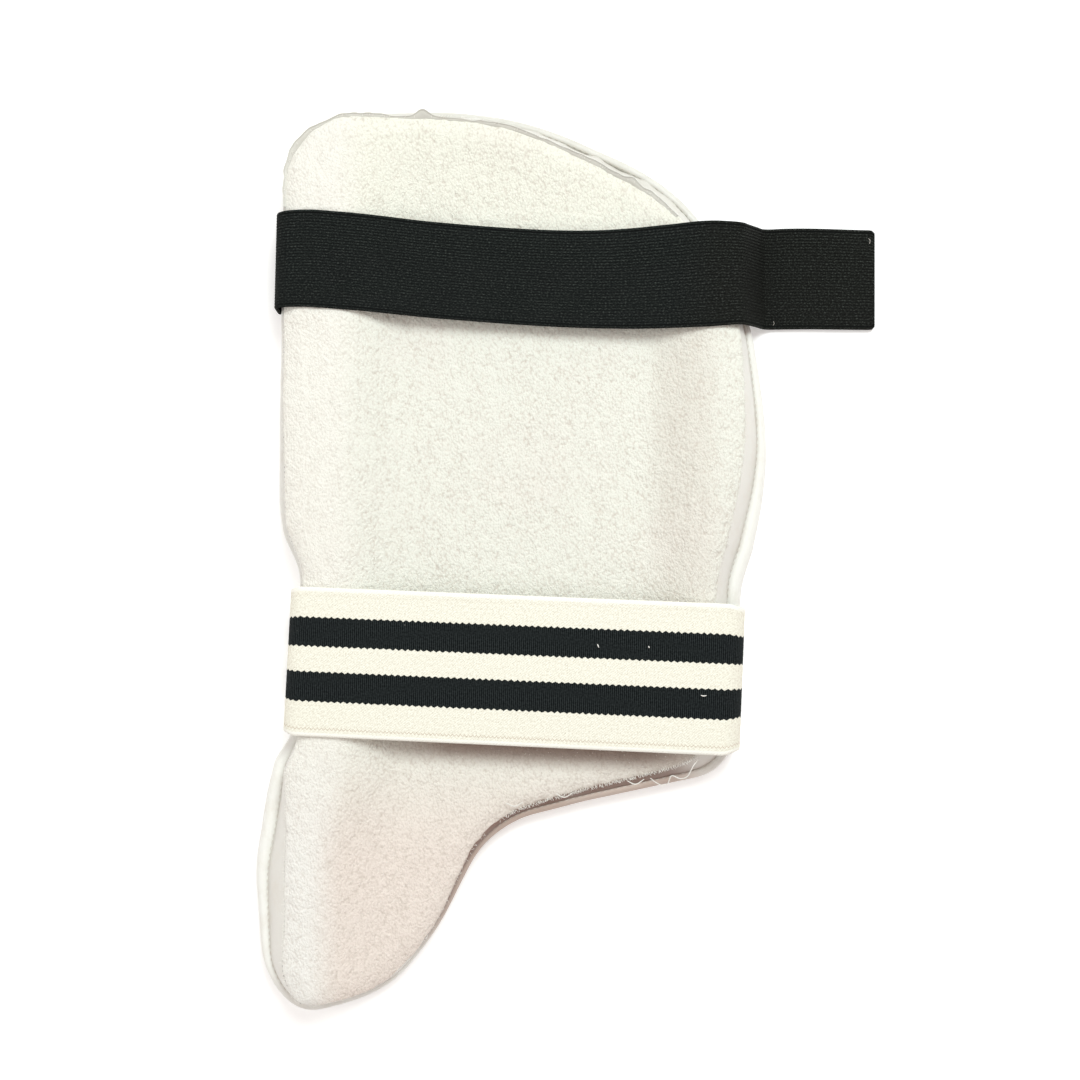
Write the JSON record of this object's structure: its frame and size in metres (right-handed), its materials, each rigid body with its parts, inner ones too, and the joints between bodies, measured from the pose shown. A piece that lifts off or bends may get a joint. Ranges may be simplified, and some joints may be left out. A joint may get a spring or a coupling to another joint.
{
  "type": "cricket thigh pad",
  "caption": "Padded cricket thigh guard with a towelling leg side, ribbed front, piped edge, side toe for the hip and two elastic straps with hook-and-loop ends.",
  "frame": {"origin": "centre of the middle rib's flat crown on the front face, in the plane that the pad rests on", "axes": "+Z out of the leg side, away from the resting plane; +Y along the pad's length towards the rounded end; +X across the pad towards the black strap's free end"},
  "size_m": [0.302, 0.4389, 0.0298],
  "materials": {
    "towelling": "matte",
    "leathercloth": "satin",
    "foam": "matte",
    "hard_foam": "matte",
    "cord": "matte",
    "black_elastic": "matte",
    "striped_elastic": "matte",
    "hook_tape": "matte",
    "loop_tape": "matte"
  },
  "bodies": {
    "pad": {"lining": "towelling", "side_wall": "leathercloth", "front_cover": "leathercloth", "piping": "leathercloth", "piping_core": "cord", "comfort_foam": "foam", "shield_foam": "hard_foam", "rib_foam_1": "foam", "rib_foam_2": "foam", "rib_foam_3": "foam", "rib_foam_4": "foam", "rib_foam_5": "foam", "black_strap_anchor": "black_elastic", "black_loop_patch": "loop_tape", "striped_strap": "striped_elastic", "striped_loop_patch": "loop_tape"},
    "black_band": {"black_strap_band": "black_elastic"},
    "black_end": {"black_strap_drop": "black_elastic"},
    "black_tab": {"black_strap_tab": "black_elastic", "black_hook_patch": "hook_tape"},
    "striped_front": {"striped_strap_front": "striped_elastic"},
    "striped_tab": {"striped_strap_tab": "striped_elastic", "striped_hook_patch": "hook_tape"}
  },
  "joints": [
    {"name": "black_band_swing", "type": "hinge", "parent": "pad", "child": "black_band", "pos_m": [-0.09957, 0.136, 0.0301], "axis": [0, -1, 0], "range_deg": [0, 165]},
    {"name": "black_end_lift", "type": "hinge", "parent": "black_band", "child": "black_end", "pos_m": [0.10737, 0.136, 0.0301], "axis": [0, -1, 0], "range_deg": [0, 120]},
    {"name": "black_tab_fold", "type": "hinge", "parent": "black_end", "child": "black_tab", "pos_m": [0.12737, 0.136, 0.0011], "axis": [0, -1, 0], "range_deg": [-170, 60]},
    {"name": "striped_front_swing", "type": "hinge", "parent": "pad", "child": "striped_front", "pos_m": [0.10543, -0.05705, 0.00218], "axis": [-0.0384, -0.9993, 0], "range_deg": [0, 170]},
    {"name": "striped_tab_peel", "type": "hinge", "parent": "striped_front", "child": "striped_tab", "pos_m": [-0.0142, -0.05245, -0.0001], "axis": [-0.0384, -0.9993, 0], "range_deg": [0, 120]}
  ]
}
